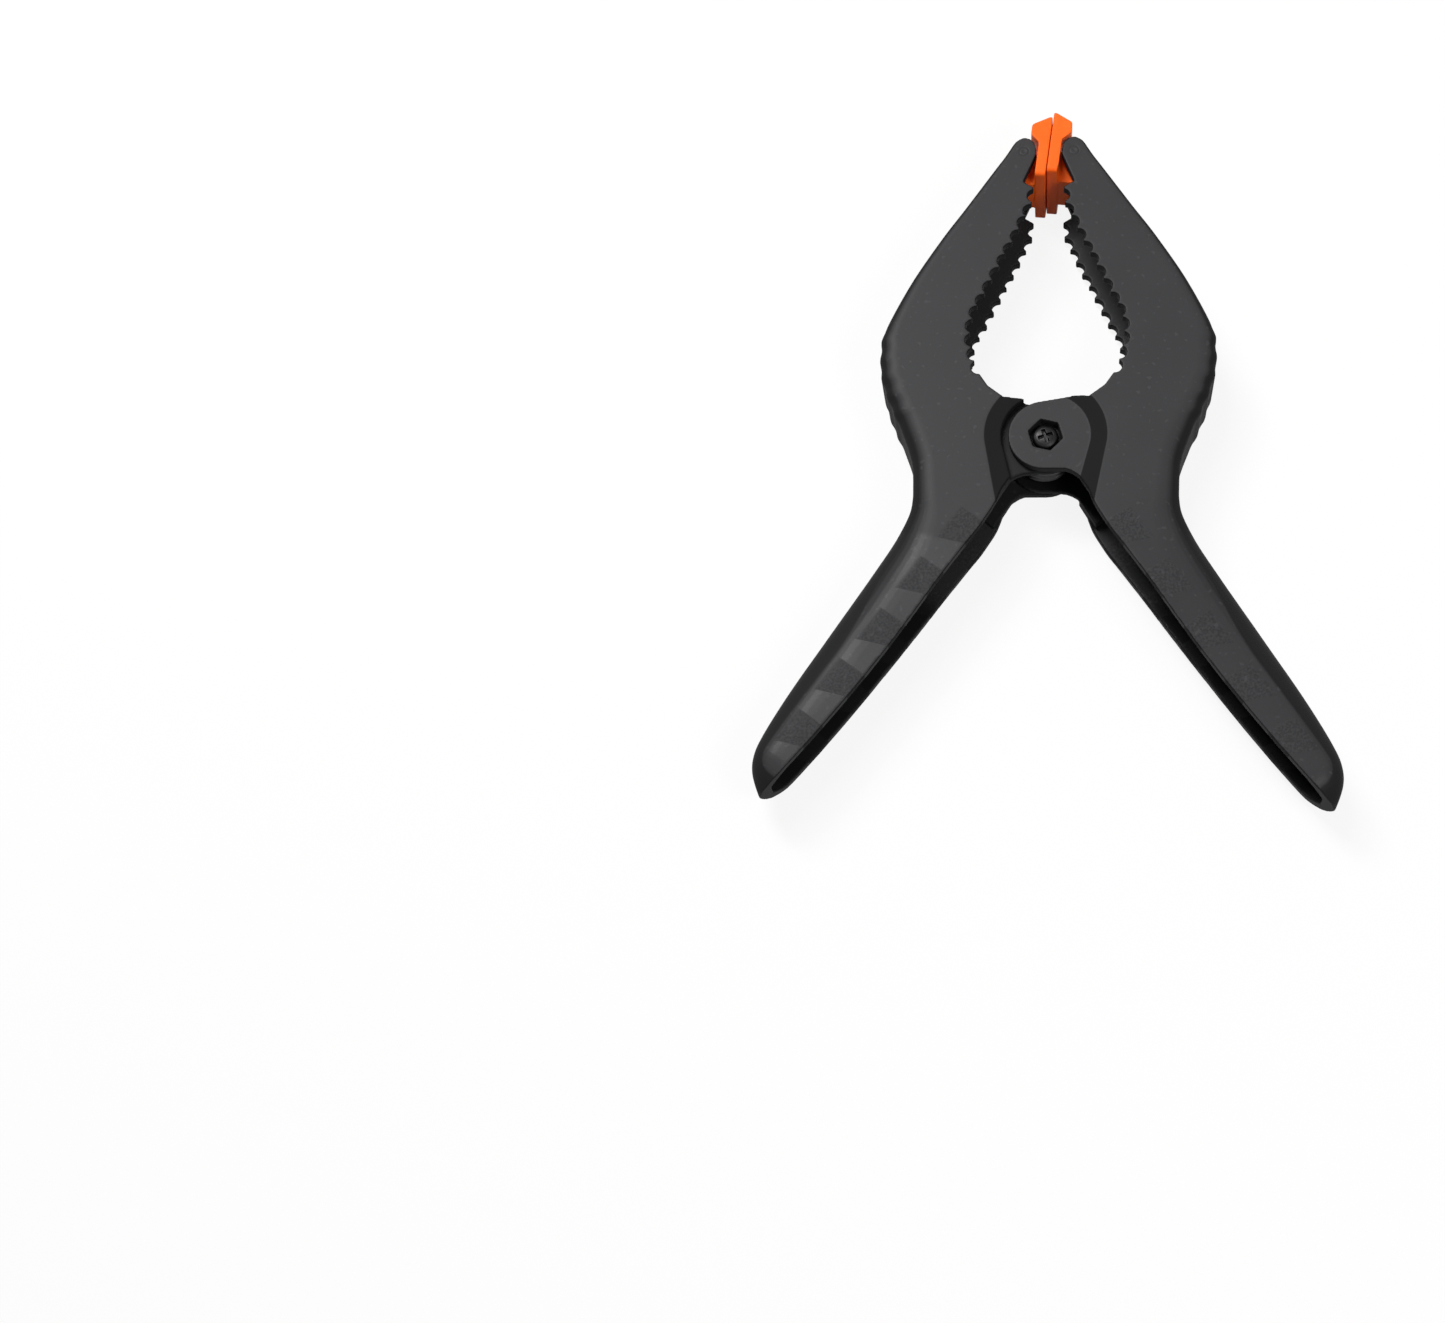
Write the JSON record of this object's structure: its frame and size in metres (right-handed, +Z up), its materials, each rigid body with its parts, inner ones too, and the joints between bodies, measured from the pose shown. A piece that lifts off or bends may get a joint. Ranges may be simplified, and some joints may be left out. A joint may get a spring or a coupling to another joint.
{
  "type": "spring clamp",
  "caption": "Hand spring clamp: two channel-shaped arms with toothed jaws on a hub screw, pressed shut at swivelling pads by a torsion spring.",
  "frame": {"origin": "centre of the part's outline seen from the front, at the plane it lies on (the pads' back faces)", "axes": "+Y towards the jaws, +Z up through the thickness from the face it lies on, +X to the right seen from the front; it lies flat"},
  "size_m": [0.1732, 0.2276, 0.028],
  "materials": {
    "arm_plastic": "dark grey moulded nylon, fine matte grain on the grips",
    "pad_plastic": "bright orange moulded plastic, soft sheen",
    "spring_steel": "drawn spring wire, lightly oiled",
    "blackened_steel": "blackened steel"
  },
  "bodies": {
    "left_arm": {"left_arm": "arm_plastic", "left_pad_pin": "blackened_steel", "torsion_spring": "spring_steel", "pivot_screw": "blackened_steel", "pivot_nut": "blackened_steel"},
    "right_arm": {"right_arm": "arm_plastic", "right_pad_pin": "blackened_steel"},
    "left_pad": {"left_pad": "pad_plastic"},
    "right_pad": {"right_pad": "pad_plastic"}
  },
  "joints": [
    {"name": "jaw_hinge", "type": "hinge", "parent": "left_arm", "child": "right_arm", "pos_m": [0, 0.00078, 0.014], "axis": [0, 0, -1], "range_deg": [0, 55], "stiffness_Nm_per_rad": 0.7, "springref_deg": -80.21, "deforming": ["torsion_spring"]},
    {"name": "left_pad_swivel", "type": "hinge", "parent": "left_arm", "child": "left_pad", "pos_m": [-0.008, 0.10058, 0.014], "axis": [0, 0, 1], "range_deg": [-5, 17]},
    {"name": "right_pad_swivel", "type": "hinge", "parent": "right_arm", "child": "right_pad", "pos_m": [0.008, 0.10058, 0.014], "axis": [0, 0, 1], "range_deg": [-5, 17]}
  ],
  "couplings": [
    {"joint": "right_pad_swivel", "follows": "left_pad_swivel", "ratio": 1}
  ]
}
